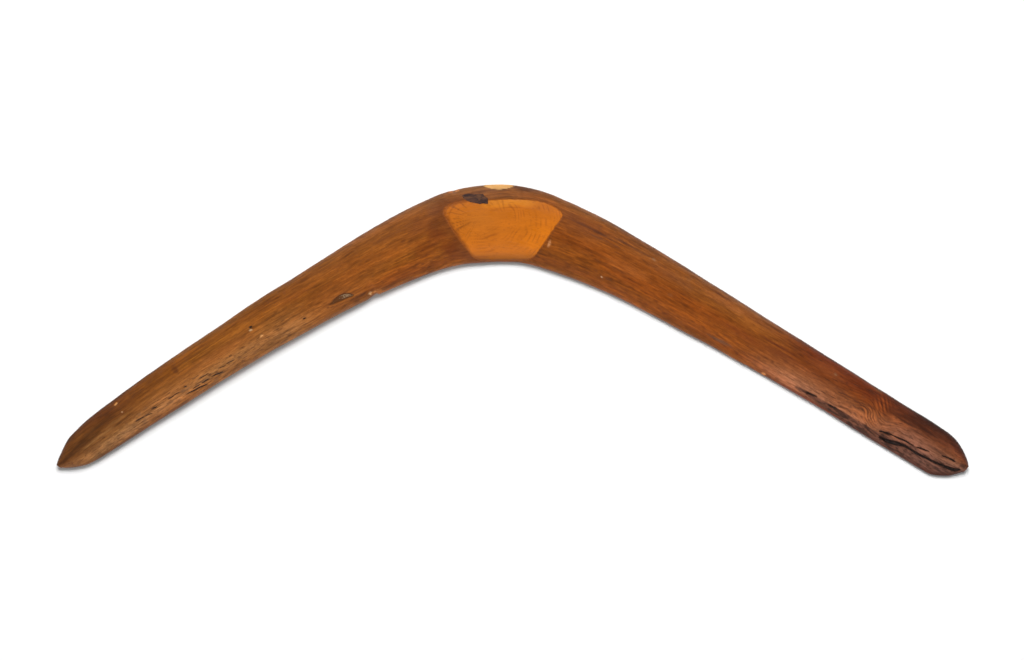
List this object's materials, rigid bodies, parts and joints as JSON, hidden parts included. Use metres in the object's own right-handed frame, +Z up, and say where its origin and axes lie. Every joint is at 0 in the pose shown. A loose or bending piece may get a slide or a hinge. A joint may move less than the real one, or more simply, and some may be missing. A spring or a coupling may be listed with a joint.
{
  "type": "boomerang",
  "caption": "Returning wooden boomerang: uneven arms meeting at a rounded elbow, domed on top and flat underneath, dark stain with an amber window at the elbow.",
  "frame": {"origin": "on the flat underside, midway across the wood at the elbow", "axes": "+X from the left tip towards the right tip, +Y towards the outside of the elbow, +Z up, out of the domed side"},
  "size_m": [0.6098, 0.195, 0.0105],
  "materials": {
    "timber": "dark red-brown stained hardwood, hand rubbed, satin",
    "varnish": "aged amber varnish film over bare wood, finely cracked, satin gloss",
    "residue": "thin dark purple-brown residue, matt",
    "gum": "hard black tree gum",
    "dust": "grey packed wood dust, matt"
  },
  "bodies": {
    "root": {"timber_body": "timber", "window_varnish": "varnish", "residue_patch": "residue", "gum_vein": "gum", "gum_flecks": "gum", "gallery_fill": "dust"}
  },
  "joints": []
}
